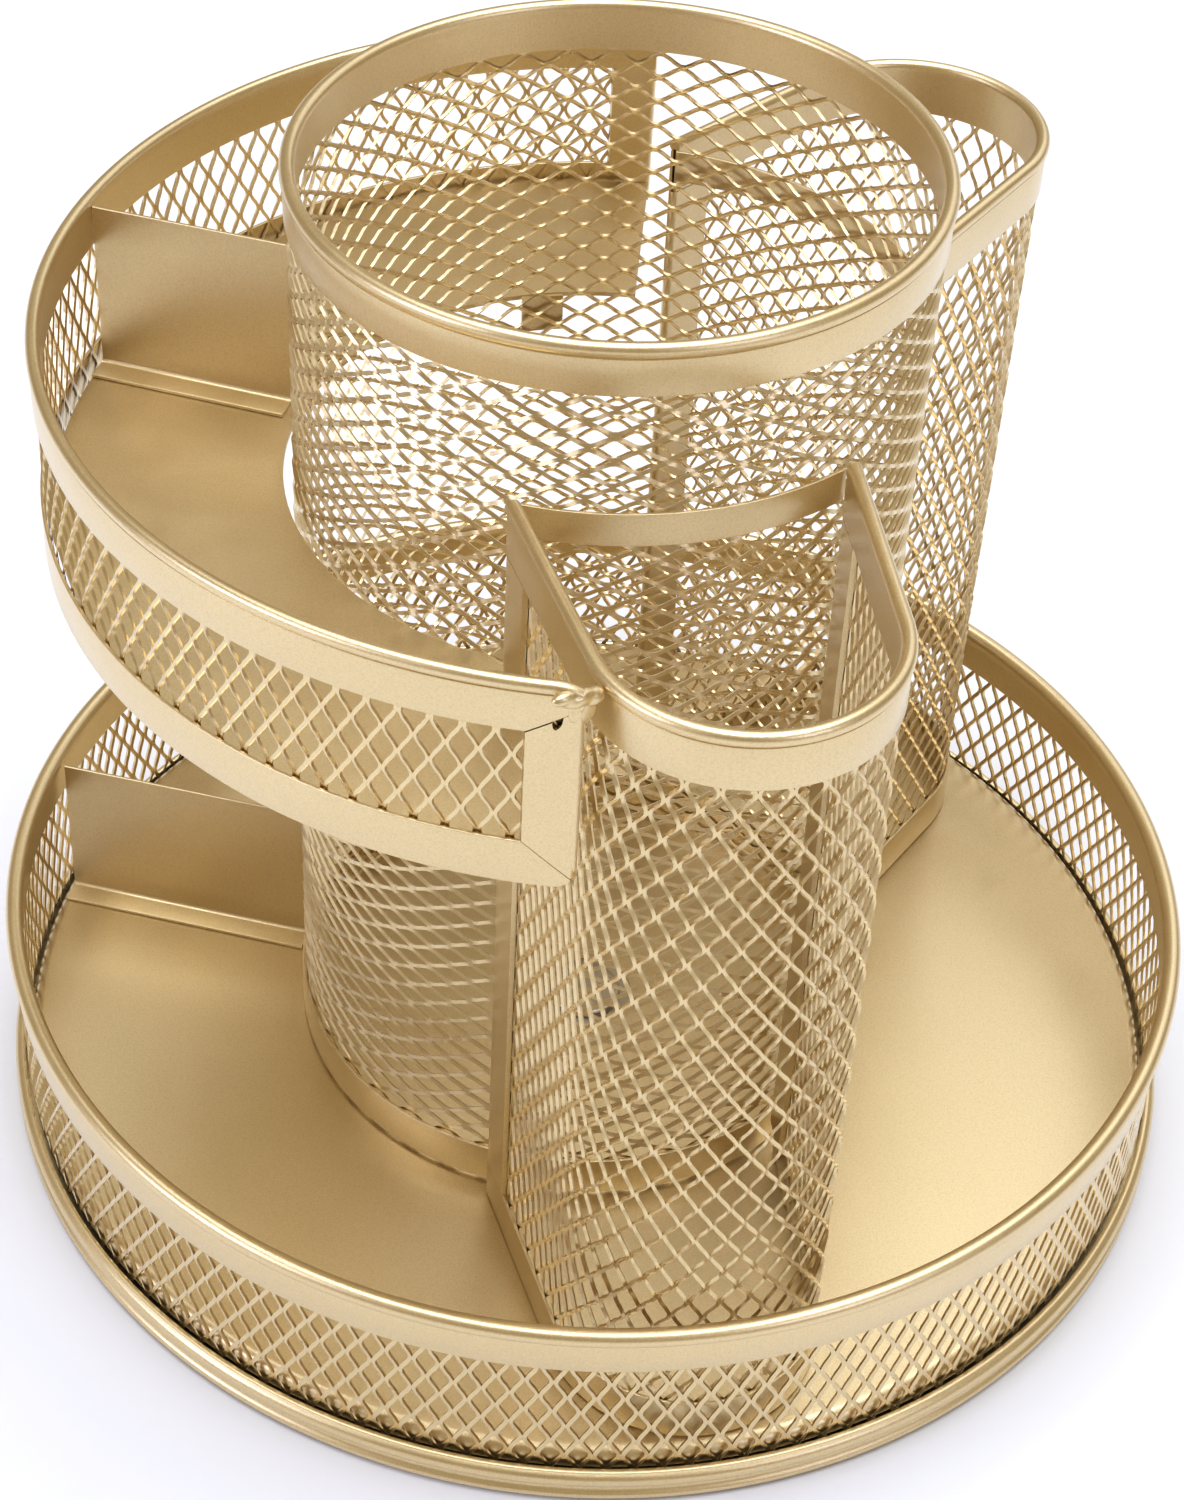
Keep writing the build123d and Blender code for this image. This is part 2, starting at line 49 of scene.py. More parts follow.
# --- sizes shared with the CAD model, in millimetres ---
MESH_GAP = 0.27          # from the middle of a mesh panel to the strip folded over it
STRIP = 0.6              # thickness of that strip
FLOOR_TOP = 8.5
TRAY_RADIUS = 101.25
TRAY_RIM_Z = 38.9
TRAY_BEAD = 1.5
TRAY_BAND_Z = 31.4
TRAY_MESH_FOOT = 5.6
FLOOR_RADIUS = 100.7
FLOOR_SHEET = 0.8
FLOOR_EDGE_ROUND = 2.2
FLOOR_EDGE_Z = 5.2
FLOOR_HOLE = 8.5
CUP_AXIS = (-2.0, 1.0)
CUP_RADIUS = 48.7
CUP_RIM_Z = 181.8
CUP_BEAD = 1.2
CUP_BAND_Z = 174.6
FOOT_BAND = 8.5
POCKET_TURNS = {"front": -74.5, "rear": 51.3}
POCKET_CORNER_R = 51.4
POCKET_CORNER_ANGLE = 28.9
POCKET_END_AT = 77.6
POCKET_END_R = 21.5
POCKET_RIM_Z = 155.6
POCKET_BEAD = 1.15
POCKET_BAND_Z = 147.2
POCKET_BAR = 8.0
BACK_STRIP_Z = 149.8
BACK_STRIP_R = 50.45
SHELF_RADIUS = 89.3
SHELF_RIM_Z = 157.0
SHELF_BEAD = 1.05
SHELF_BAND_Z = 149.4
SHELF_FOOT_TOP = 129.6
SHELF_FOOT_Z = 121.8
SHELF_FLOOR_TOP = 126.5
SHELF_START = 88.0
SHELF_END = 268.6
SHELF_END_BAR = 7.4
DIVIDER_HEIGHT = 30.0
DIVIDER_FLANGE = 5.0
BASE_RADIUS = 103.8
BASE_RIM_TOP = 6.6
BASE_RIM_Z = 0.6
PAN_Z = 1.6
PAN_SHEET = 0.7
BASE_BULGE = 1.2
BASE_ROLL = 0.92         # radius of the roll at the desk
BASE_SWELL = 1.55        # radius of the swelling above it
PIVOT_HOLE = 3.0

# --- expanded metal, in millimetres ---
TRAY_DIAMOND = (7.3, 4.45)     # a diamond's long way, from knot to knot, and its short way
CUP_DIAMOND = (7.5, 4.4)
SHELF_DIAMOND = (7.4, 4.55)
POCKET_DIAMOND = (7.2, 4.85)
STRAND = 0.58            # width of a strand
STRAND_SHEET = 0.46      # thickness of the sheet that it was cut from
KNOT = 0.34              # half the length of a knot
CUP_LEAN = -28.0         # how far the strands lean out of a wall, in degrees
POCKET_LEAN = -30.0
SHELF_LEAN = 14.0
TRAY_LEAN = 10.0
TRAY_STRAND = 0.72       # the tray's are wider and lie flatter


# --- walls ---
def ring_wall(centre, radius, start=0.0):
    """A round wall; start is the angle in degrees where the way along it begins."""
    first = math.radians(start)

    def place(along, up, out):
        turn = first + along / radius
        reach = radius + out
        x = centre[0] + reach * np.cos(turn)
        y = centre[1] + reach * np.sin(turn)
        return np.stack([x, y, up + 0 * x], -1)

    return place


def arc_length(radius, degrees):
    return radius * math.radians(degrees)


def pocket_sizes():
    """Length of a pocket's straight side, and how far the round end turns each way, in radians."""
    corner_x = POCKET_CORNER_R * math.cos(math.radians(POCKET_CORNER_ANGLE))
    corner_y = POCKET_CORNER_R * math.sin(math.radians(POCKET_CORNER_ANGLE))
    to_centre = math.hypot(POCKET_END_AT - corner_x, corner_y)
    aim = math.atan2(-corner_y, POCKET_END_AT - corner_x)
    side = aim + math.asin(POCKET_END_R / to_centre)
    straight = math.sqrt(to_centre ** 2 - POCKET_END_R ** 2)
    return straight, math.pi / 2 + side


POCKET_SIDE, POCKET_HALF_TURN = pocket_sizes()
POCKET_ROUND = 2 * POCKET_HALF_TURN * POCKET_END_R
POCKET_LENGTH = 2 * POCKET_SIDE + POCKET_ROUND


def pocket_wall(direction):
    """The U-shaped wall of a pocket that points away from the cup in this direction."""
    spin = math.radians(direction)

    def place(along, up, out):
        s = along - POCKET_SIDE
        beyond = np.where(s < 0, s, np.where(s > POCKET_ROUND, s - POCKET_ROUND, 0.0))
        turn = np.clip(s / POCKET_END_R, 0, 2 * POCKET_HALF_TURN) - POCKET_HALF_TURN
        reach = POCKET_END_R + out
        x = POCKET_END_AT + reach * np.cos(turn) - beyond * np.sin(turn)
        y = reach * np.sin(turn) + beyond * np.cos(turn)
        wx = CUP_AXIS[0] + x * math.cos(spin) - y * math.sin(spin)
        wy = CUP_AXIS[1] + x * math.sin(spin) + y * math.cos(spin)
        return np.stack([wx, wy, up + 0 * wx], -1)

    return place


def straight_wall(start, end, floor_z):
    """An upright sheet between two points. Out is to the right of the way from start to end."""
    length = math.dist(start, end)
    dx, dy = (end[0] - start[0]) / length, (end[1] - start[1]) / length

    def place(along, up, out):
        x = start[0] + dx * along + dy * out
        y = start[1] + dy * along - dx * out
        return np.stack([x, y, floor_z + up + 0 * x], -1)

    return place, length


# --- pieces ---
def add_piece(name, points, faces, material, body, cad_nodes, slot="gold_sheet", crease=40.0):
    """A mesh from points in millimetres and faces, smooth but for creases, riding on a body."""
    mesh = bpy.data.meshes.new(name)
    mesh.from_pydata((np.asarray(points, float) * MM).tolist(), [], faces)
    mesh.validate()
    mesh.shade_smooth()
    mesh.set_sharp_from_angle(angle=math.radians(crease))
    mesh.materials.append(material)
    piece = bpy.data.objects.new(name, mesh)
    bpy.context.scene.collection.objects.link(piece)
    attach(piece, body)
    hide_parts(*cad_nodes)
    return piece


def loft(rows, closed):
    """Points and faces of a skin over rows of points, each row a closed loop, counter-clockwise
    in (out, up)."""
    rows = np.asarray(rows)
    lines, count = rows.shape[:2]
    faces = []
    for line in range(lines if closed else lines - 1):
        here, there = line * count, (line + 1) % lines * count
        for k in range(count):
            n = (k + 1) % count
            faces.append((here + k, there + k, there + n, here + n))
    if not closed:
        faces.append(tuple(range(count)))
        last = (lines - 1) * count
        faces.append(tuple(range(last + count - 1, last - 1, -1)))
    return rows.reshape(-1, 3), faces


def sweep(wall, alongs, outline, closed=False):
    """An outline of (out, up), or one that depends on the way along, carried along a wall."""
    rows = []
    for along in alongs:
        loop = np.array(outline(along) if callable(outline) else outline)
        rows.append(wall(np.full(len(loop), along), loop[:, 1], loop[:, 0]))
    return loft(rows, closed)


def turned(centre, radius, outline, steps=288):
    """A full ring with this outline of (out, up) from the radius."""
    wall = ring_wall(centre, radius)
    alongs = np.arange(steps) * (2 * math.pi * radius / steps)
    return sweep(wall, alongs, outline, closed=True)


def joined(*parts):
    """Several (points, faces) as one."""
    points, faces, base = [], [], 0
    for part_points, part_faces in parts:
        points.append(np.asarray(part_points))
        faces += [tuple(base + i for i in face) for face in part_faces]
        base += len(part_points)
    return np.concatenate(points), faces


def arc(centre, radius, start, end, steps):
    """Points on an arc of an outline, angles in degrees, both ends included."""
    turns = np.radians(np.linspace(start, end, steps + 1))
    return [(centre[0] + radius * math.cos(t), centre[1] + radius * math.sin(t)) for t in turns]


# --- expanded metal ---
MEETING = 0.999          # swing beyond which a strand is joined to its neighbour
END_CLEAR = 0.05         # no row lies closer than this to a panel's cut end


def eased(x):
    """0 to 1 with a soft start and end."""
    x = np.clip(x, 0, 1)
    return x * x * (3 - 2 * x)


def strand_profile(long_way):
    """Heights of the rows of one half period, and where each lies between its two knots.

    Returns (distance past a knot's middle, swing) pairs. swing goes from 1 at this knot to -1
    at the next."""
    free = long_way / 2 - 2 * KNOT
    rows = [(-KNOT, 1.0), (KNOT, 1.0)]
    for t in (1 / 3, 2 / 3):
        rows.append((KNOT + free * t, 1 - (t + eased(t))))
    return rows


def panel_rows(run, long_way, wraps):
    """Places of the rows along the strands, and an odd strand's swing at each."""
    halves = 2 * round(run / long_way) if wraps else math.ceil(2 * run / long_way) + 1
    half_long = run / halves if wraps else long_way / 2
    rows, swings = [], []
    for half in range(halves):
        for offset, swing in strand_profile(2 * half_long):
            rows.append(half * half_long + offset)
            swings.append(swing if half % 2 == 0 else -swing)
    rows, swings = np.array(rows), np.array(swings)
    if wraps:
        return rows, swings
    kept = np.concatenate([[0.0], rows[(rows > END_CLEAR) & (rows < run - END_CLEAR)], [run]])
    return kept, np.interp(kept, rows, swings)


def swing_of(strip, swings):
    """1 where a strand meets the one on its right, -1 where it meets the one on its left."""
    return swings if strip % 2 else -swings


def strand_points(strips, half_short, rows, swings, strand, lean):
    """The strands' corners as (across, along the strand, out), by strip, row, left or right and
    front or back."""
    rise = np.gradient(swings, rows)
    rise[np.abs(swings) > MEETING] = 0.0
    tilt = math.radians(lean)
    half = strand / 2
    swing_out = half * math.sin(tilt)
    swing_across = half_short / 2 - half * math.cos(tilt)
    lines = len(rows)
    points = np.zeros((strips, lines, 2, 2, 3))
    for strip in range(strips):
        side, slope = swing_of(strip, swings), swing_of(strip, rise)
        mid = (strip + 0.5) * half_short
        centre = np.stack([mid + swing_across * side, rows, -swing_out * side], -1)
        way = np.stack([swing_across * slope, np.ones(lines), -swing_out * slope], -1)
        way /= np.linalg.norm(way, axis=1)[:, None]
        wide = np.array([math.cos(tilt), 0.0, math.sin(tilt)])[None]
        wide = wide - (way * wide).sum(1)[:, None] * way
        wide /= np.linalg.norm(wide, axis=1)[:, None]
        thick = np.cross(wide, way) * STRAND_SHEET / 2
        for k, edge in enumerate((-half, half)):
            points[strip, :, k, 0] = centre + wide * edge + thick
            points[strip, :, k, 1] = centre + wide * edge - thick
    return points


def corner_numbers(strips, swings, joins_round):
    """A number for each corner, the same for both strands where they meet."""
    number = np.arange(strips * len(swings) * 4).reshape(strips, len(swings), 2, 2)
    for strip in range(strips):
        right = (strip + 1) % strips
        if right == 0 and not joins_round:
            continue
        meets = swing_of(strip, swings) > MEETING
        number[right, meets, 0] = number[strip, meets, 1]
    return number


def strand_faces(number, swings, wraps, joins_round):
    """Front, back and cut edges of every strand, left open where it joins its neighbour."""
    strips, lines = number.shape[:2]
    faces = []
    for strip in range(strips):
        side = swing_of(strip, swings)
        open_right = not joins_round and strip == strips - 1
        open_left = not joins_round and strip == 0
        for row in range(lines if wraps else lines - 1):
            after = (row + 1) % lines
            a, b = number[strip, row], number[strip, after]
            knot = side[row] == side[after]
            faces.append((a[0][0], a[1][0], b[1][0], b[0][0]))
            faces.append((a[0][1], b[0][1], b[1][1], a[1][1]))
            if not (knot and side[row] > 0) or open_right:
                faces.append((a[1][0], a[1][1], b[1][1], b[1][0]))
            if not (knot and side[row] < 0) or open_left:
                faces.append((a[0][0], b[0][0], b[0][1], a[0][1]))
        if not wraps:
            first, last = number[strip, 0], number[strip, -1]
            faces.append((first[0][0], first[0][1], first[1][1], first[1][0]))
            faces.append((last[0][0], last[1][0], last[1][1], last[0][1]))
    return faces


def expanded(wall, length, low, high, closed, upright, lean, press, strand, long_way, short_way):
    """Points and faces of a panel of raised expanded metal.

    It is cut as strands that run the long way of the diamonds, upright or along the wall, each
    zigzagging and joined to its neighbours by turns. lean is their tilt in degrees, with its
    sign. press(along, up) is how much of the relief is left there, from 0 to 1."""
    across, run = (length, high - low) if upright else (high - low, length)
    joins_round, wraps = closed and upright, closed and not upright
    strips = max(4, round(2 * across / short_way))
    if joins_round and strips % 2:
        strips += 1
    rows, swings = panel_rows(run, long_way, wraps)
    flat = strand_points(strips, across / strips, rows, swings, strand, lean).reshape(-1, 3)
    along, up = (flat[:, 0], low + flat[:, 1]) if upright else (-flat[:, 1], low + flat[:, 0])
    placed = wall(along, up, flat[:, 2] * press(along, up))
    number = corner_numbers(strips, swings, joins_round)
    return compacted(placed, strand_faces(number, swings, wraps, joins_round))


def compacted(points, faces):
    """Without the points that no face uses."""
    used = np.unique(np.array([i for face in faces for i in face]))
    place = np.full(len(points), -1)
    place[used] = np.arange(len(used))
    return points[used], [tuple(int(place[i]) for i in face) for face in faces]


def expanded_panel(name, wall, length, low, high, press, diamond, lean, closed=False, upright=True,
                   strand=STRAND):
    """One wall's mesh, as a piece on the turning part."""
    points, faces = expanded(wall, length, low, high, closed, upright, lean, press, strand, *diamond)
    return add_piece("expanded_metal_" + name, points, faces, gold_mesh, "carousel",
                     [name + "_mesh"], "gold_mesh", crease=50.0)


# --- materials ---
def shader(name):
    material = bpy.data.materials.new(name)
    material.use_nodes = True
    return material, material.node_tree.nodes, material.node_tree.links


def node(nodes, kind, **inputs):
    made = nodes.new(kind)
    for key, value in inputs.items():
        made.inputs[key.replace("_", " ")].default_value = value
    return made


def ramp(nodes, links, source, stops):
    """A colour ramp on a value; stops are (position, colour)."""
    made = nodes.new("ShaderNodeValToRGB")
    made.color_ramp.elements[0].position, made.color_ramp.elements[0].color = stops[0]
    made.color_ramp.elements[1].position, made.color_ramp.elements[1].color = stops[-1]
    for position, colour in stops[1:-1]:
        made.color_ramp.elements.new(position).color = colour
    links.new(source, made.inputs["Fac"])
    return made.outputs["Color"]


def grey(value):
    return (value, value, value, 1.0)


def tinted(colour, share):
    return tuple(c * share for c in colour) + (1.0,)


GOLD = (0.74, 0.59, 0.32)
CLOUD = 0.035            # how much the paint's roughness drifts each way


def gold_paint(name, roughness, speckle, bump):
    """Satin gold paint: metal flake in a clear binder, with fine grain and a little orange peel."""
    material, nodes, links = shader(name)
    bsdf = nodes["Principled BSDF"]
    bsdf.inputs["Metallic"].default_value = 1.0
    bsdf.inputs["Coat Weight"].default_value = 1.0
    bsdf.inputs["Coat IOR"].default_value = 1.85
    bsdf.inputs["Coat Roughness"].default_value = 0.32
    place = nodes.new("ShaderNodeTexCoord").outputs["Object"]
    flake = node(nodes, "ShaderNodeTexNoise", Scale=3200.0, Detail=1.0, Roughness=0.5)
    links.new(place, flake.inputs["Vector"])
    cloud = node(nodes, "ShaderNodeTexNoise", Scale=90.0, Detail=3.0, Roughness=0.55)
    links.new(place, cloud.inputs["Vector"])
    colour = ramp(nodes, links, flake.outputs["Fac"], [
        (0.25, tinted(GOLD, 1 - speckle)), (0.5, tinted(GOLD, 1.0)),
        (0.75, tinted(GOLD, 1 + speckle * 0.6)),
    ])
    links.new(colour, bsdf.inputs["Base Color"])
    rough = ramp(nodes, links, cloud.outputs["Fac"], [
        (0.3, grey(roughness - CLOUD)), (0.7, grey(roughness + CLOUD)),
    ])
    links.new(rough, bsdf.inputs["Roughness"])
    grain = node(nodes, "ShaderNodeBump", Strength=bump, Distance=0.00006)
    links.new(flake.outputs["Fac"], grain.inputs["Height"])
    links.new(grain.outputs["Normal"], bsdf.inputs["Normal"])
    return material


gold_sheet = gold_paint("gold_sheet_paint", 0.37, 0.10, 0.30)
gold_mesh = gold_paint("gold_mesh_paint", 0.29, 0.05, 0.10)

# --- mesh panels ---
NEAR = MESH_GAP
FAR = MESH_GAP + STRIP
PRESSED = 0.16           # relief left where a strip is folded over the mesh
RECOVER = 2.0            # the relief grows back over this distance


def between(up, low, high):
    """1 between two heights, easing down to PRESSED at and beyond them."""
    free = eased((up - low) / RECOVER) * eased((high - up) / RECOVER)
    return PRESSED + (1 - PRESSED) * free


tray_wall = ring_wall((0.0, 0.0), TRAY_RADIUS)
cup_wall = ring_wall(CUP_AXIS, CUP_RADIUS)
shelf_wall = ring_wall((0.0, 0.0), SHELF_RADIUS, SHELF_START)
shelf_length = arc_length(SHELF_RADIUS, SHELF_END - SHELF_START)
pocket_walls = {name: pocket_wall(turn) for name, turn in POCKET_TURNS.items()}

expanded_panel("tray", tray_wall, 2 * math.pi * TRAY_RADIUS, TRAY_MESH_FOOT, TRAY_RIM_Z - TRAY_BEAD,
               lambda along, up: between(up, FLOOR_TOP - 1.0, TRAY_BAND_Z),
               TRAY_DIAMOND, TRAY_LEAN, closed=True, strand=TRAY_STRAND)
expanded_panel("cup", cup_wall, 2 * math.pi * CUP_RADIUS, FLOOR_TOP + 0.4, CUP_RIM_Z - CUP_BEAD,
               lambda along, up: between(up, FLOOR_TOP + FOOT_BAND, CUP_BAND_Z),
               CUP_DIAMOND, CUP_LEAN, closed=True, upright=False)
expanded_panel("shelf", shelf_wall, shelf_length, SHELF_FOOT_Z + 0.6, SHELF_RIM_Z - SHELF_BEAD,
               lambda along, up: between(up, SHELF_FOOT_TOP, SHELF_BAND_Z)
               * between(along, SHELF_END_BAR, shelf_length - SHELF_END_BAR),
               SHELF_DIAMOND, SHELF_LEAN)
for side in POCKET_TURNS:
    expanded_panel(side + "_pocket", pocket_walls[side], POCKET_LENGTH,
                   FLOOR_TOP + 0.4, POCKET_RIM_Z - POCKET_BEAD,
                   lambda along, up: between(up, FLOOR_TOP + FOOT_BAND, POCKET_BAND_Z)
                   * between(along, POCKET_BAR, POCKET_LENGTH - POCKET_BAR),
                   POCKET_DIAMOND, POCKET_LEAN)


# --- rolled rims ---
EDGE = 0.14              # rounding of a strip's cut edge
GROOVE = 0.22            # depth of the groove under the roll
ROLL_OUT = 0.12          # the roll's middle stands this far outside the mesh


def rim_outline(bead_z, bead, band_z, outer_band_z=None):
    """A strip folded over the mesh, curled outwards into a roll that leaves a fine groove."""
    outer_band_z = band_z if outer_band_z is None else outer_band_z
    hub = (ROLL_OUT, bead_z)
    groove = FAR - GROOVE
    first = -math.degrees(math.acos((groove - hub[0]) / bead))
    loop = arc((NEAR + EDGE, outer_band_z + EDGE), EDGE, 180, 270, 3)
    loop += arc((FAR - EDGE, outer_band_z + EDGE), EDGE, 270, 360, 3)
    crease = bead_z + bead * math.sin(math.radians(first))
    loop += [(FAR, crease - 0.30), (FAR - 0.05, crease - 0.12), (groove, crease - 0.02)]
    loop += arc(hub, bead, first + 6, 188, 22)
    loop += [(-FAR - 0.14, bead_z - bead * 0.75), (-FAR - 0.03, bead_z - bead * 1.35)]
    loop += arc((-FAR + EDGE, band_z + EDGE), EDGE, 180, 270, 3)
    loop += arc((-NEAR - EDGE, band_z + EDGE), EDGE, 270, 360, 3)
    inside = bead_z - bead * 0.55
    return loop + [(-NEAR, inside), (NEAR, inside)]


def plate_outline(near, far, low, high):
    """Section of a strip with rounded edges."""
    edge = min(EDGE, (high - low) / 2.2)
    loop = arc((near + edge, low + edge), edge, 180, 270, 3)
    loop += arc((far - edge, low + edge), edge, 270, 360, 3)
    loop += arc((far - edge, high - edge), edge, 0, 90, 3)
    return loop + arc((near + edge, high - edge), edge, 90, 180, 3)


def steps_between(first, last, step):
    return np.linspace(first, last, max(2, round((last - first) / step) + 1))


def sheet_piece(name, shape, cad_node, body="carousel", crease=40.0):
    """A gold sheet piece from its (points, faces)."""
    return add_piece(name, *shape, gold_sheet, body, [cad_node], crease=crease)


CUP_STEPS = 240          # facets round the cup's rim and foot
CUP_FOOT_GAP = 0.7       # between a foot band and the floor
POCKET_FOOT_GAP = 0.3
POCKET_END_GAP = 0.2     # a pocket's bands stop this short of the cup

sheet_piece("rolled_rim_tray", turned((0, 0), TRAY_RADIUS, rim_outline(
    TRAY_RIM_Z, TRAY_BEAD, TRAY_BAND_Z)), "tray_rim")
sheet_piece("rolled_rim_cup", turned(CUP_AXIS, CUP_RADIUS, rim_outline(
    CUP_RIM_Z, CUP_BEAD, CUP_BAND_Z), CUP_STEPS), "cup_rim")
sheet_piece("foot_band_cup", turned(CUP_AXIS, CUP_RADIUS, plate_outline(
    NEAR, FAR, FLOOR_TOP + CUP_FOOT_GAP, FLOOR_TOP + FOOT_BAND), CUP_STEPS), "cup_foot_band")

pocket_ways = np.concatenate([
    steps_between(POCKET_END_GAP, POCKET_SIDE, 1.5)[:-1],
    steps_between(POCKET_SIDE, POCKET_SIDE + POCKET_ROUND, 1.0),
    steps_between(POCKET_SIDE + POCKET_ROUND, POCKET_LENGTH - POCKET_END_GAP, 1.5)[1:],
])
for side, wall in pocket_walls.items():
    sheet_piece(f"rolled_rim_{side}_pocket", sweep(wall, pocket_ways, rim_outline(
        POCKET_RIM_Z, POCKET_BEAD, POCKET_BAND_Z)), f"{side}_pocket_rim")
    sheet_piece(f"foot_band_{side}_pocket", sweep(wall, pocket_ways, plate_outline(
        NEAR, FAR, FLOOR_TOP + POCKET_FOOT_GAP, FLOOR_TOP + FOOT_BAND)), f"{side}_pocket_foot_band")


LIP = 0.3                # a strip's free edges turn in over this width to rest on the mesh
LIP_RISE = 0.3           # share of the strip's height over the mesh left at the lip's tip
BAR_GAP = 0.05           # between an upright strip and the bands above and below


def folded_strip(wall, length, at_end, width, bottom, top, ways):
    """Upright strip folded round a mesh's end. bottom and top give heights at a distance from
    the end, and ways are the distances where the outer leg has rows."""
    turn = FAR - 0.2
    nose = [(turn - FAR * math.sin(t), FAR * math.cos(t)) for t in np.linspace(0, math.pi, 11)]
    legs = [(s, FAR) for s in ways[::-1] if s > turn + 0.1]
    path = [(width + LIP, FAR * LIP_RISE)] + legs + nose
    path += [(s, -FAR) for s in (turn + 0.3, width / 2, width)] + [(width + LIP, -FAR * LIP_RISE)]
    thin = 1 - STRIP / FAR
    rows = []
    for s, out in path:
        along = min(max(s, 0.0), width)
        low, high = bottom(along), top(along)
        s_in = turn + (s - turn) * thin if s < turn else s
        corners = [(s, out, low), (s, out, high), (s_in, out * thin, high), (s_in, out * thin, low)]
        rows.append([wall(*np.array((length - where if at_end else where, height, depth)))
                     for where, depth, height in corners])
    points, faces = loft(rows, closed=False)
    return points, faces if at_end else [face[::-1] for face in faces]


def pocket_bar(side, at_end):
    """Strip folded round the pocket's mesh at one inner corner."""
    low, high = FLOOR_TOP + FOOT_BAND + BAR_GAP, POCKET_BAND_Z - BAR_GAP
    return folded_strip(pocket_walls[side], POCKET_LENGTH, at_end, POCKET_BAR,
                        lambda s: low, lambda s: high, np.array([2.0, 4.0, 6.0, POCKET_BAR]))


def pocket_back_strip(direction):
    """Curved strip round the cup that joins the tops of the two bars."""
    reach = POCKET_CORNER_ANGLE - 0.7
    strip_wall = ring_wall(CUP_AXIS, BACK_STRIP_R, direction - reach)
    outline = plate_outline(-STRIP / 2, STRIP / 2, BACK_STRIP_Z, POCKET_RIM_Z - 0.2)
    return sweep(strip_wall, np.linspace(0, arc_length(BACK_STRIP_R, 2 * reach), 40), outline)


for side, turn in POCKET_TURNS.items():
    for hand, at_end in (("left", False), ("right", True)):
        sheet_piece(f"folded_bar_{side}_pocket_{hand}", pocket_bar(side, at_end),
                    f"{side}_pocket_{hand}_bar")
    sheet_piece(f"back_strip_{side}_pocket", pocket_back_strip(turn), f"{side}_pocket_back_strip")


# --- half-round upper tray ---
SHELF_CORNER = 3.0       # rounding of the frame's free lower corner
MITRE_GAP = 0.14
BEAD_DIP = 1.1           # the bead sinks into the weld over its last few millimetres
BEAD_DIP_LENGTH = 4.0
BURN_AT = 3.2            # a small gap in the upper mitre beside the weld, from the frame's end
BURN_HALF = 0.75
BURN_DEPTH = 1.6
UPPER_MITRE = SHELF_RIM_Z - SHELF_BEAD - SHELF_BAND_Z - BEAD_DIP - 0.8    # heights of the mitres
LOWER_MITRE = SHELF_FOOT_TOP - SHELF_FOOT_Z - 1.2


def corner_rise(from_end):
    """How far the rounded lower corner lifts the frame's edge."""
    short = max(0.0, SHELF_CORNER - from_end)
    return SHELF_CORNER - math.sqrt(SHELF_CORNER ** 2 - short ** 2)


def mitre_share(s):
    """1 at the frame's end, 0 where the mitre ends."""
    return max(0.0, 1 - s / SHELF_END_BAR)


def shelf_rim_outline(along):
    """The band's lower edge climbs along the mitre at each end."""
    from_end = min(along, shelf_length - along)
    climb = mitre_share(from_end) * UPPER_MITRE
    dip = BEAD_DIP * max(0.0, 1 - from_end / BEAD_DIP_LENGTH) ** 2
    return rim_outline(SHELF_RIM_Z - dip, SHELF_BEAD, SHELF_BAND_Z, SHELF_BAND_Z + climb)


def shelf_foot_outline(along):
    """The band's upper edge falls along the mitre at each end, and its corner is rounded."""
    from_end = min(along, shelf_length - along)
    fall = mitre_share(from_end) * LOWER_MITRE
    return plate_outline(NEAR, FAR, SHELF_FOOT_Z + corner_rise(from_end), SHELF_FOOT_TOP - fall)


def shelf_bar_bottom(s):
    """Along the lower mitre, then round the frame's corner."""
    mitre = SHELF_FOOT_TOP - mitre_share(s) * LOWER_MITRE + MITRE_GAP
    return max(mitre, SHELF_FOOT_Z + corner_rise(s))


def shelf_bar_top(s):
    """Along the upper mitre, with a small gap burnt away beside the weld."""
    rise = mitre_share(s) * UPPER_MITRE
    notch = BURN_DEPTH * math.sqrt(max(0.0, 1 - ((s - BURN_AT) / BURN_HALF) ** 2))
    gap = MITRE_GAP if s > BURN_AT else -0.02   # between the notch and the end it is welded shut
    return SHELF_BAND_Z + rise - gap - notch


def shelf_bar(at_front):
    """Upright strip that closes the upper tray's frame at one end."""
    ways = np.unique(np.concatenate([
        np.linspace(BURN_AT - BURN_HALF, BURN_AT + BURN_HALF, 9), np.linspace(0.8, SHELF_END_BAR, 14),
    ]))
    return folded_strip(shelf_wall, shelf_length, at_front, SHELF_END_BAR, shelf_bar_bottom,
                        shelf_bar_top, ways)


shelf_ways = np.unique(np.concatenate([
    steps_between(0.0, SHELF_END_BAR, 0.6),
    steps_between(SHELF_END_BAR, shelf_length - SHELF_END_BAR, 1.6),
    steps_between(shelf_length - SHELF_END_BAR, shelf_length, 0.6),
]))
sheet_piece("rolled_rim_shelf", sweep(shelf_wall, shelf_ways, shelf_rim_outline), "shelf_rim")
sheet_piece("foot_band_shelf", sweep(shelf_wall, shelf_ways, shelf_foot_outline), "shelf_foot_band")
sheet_piece("end_bar_shelf_front", shelf_bar(True), "shelf_front_bar")
sheet_piece("end_bar_shelf_rear", shelf_bar(False), "shelf_rear_bar")


# --- folded dividers ---
DIVIDER_BEND = 1.3       # outer radius of the fold
DIVIDER_GAP = 0.05       # between a divider's foot and the floor under it


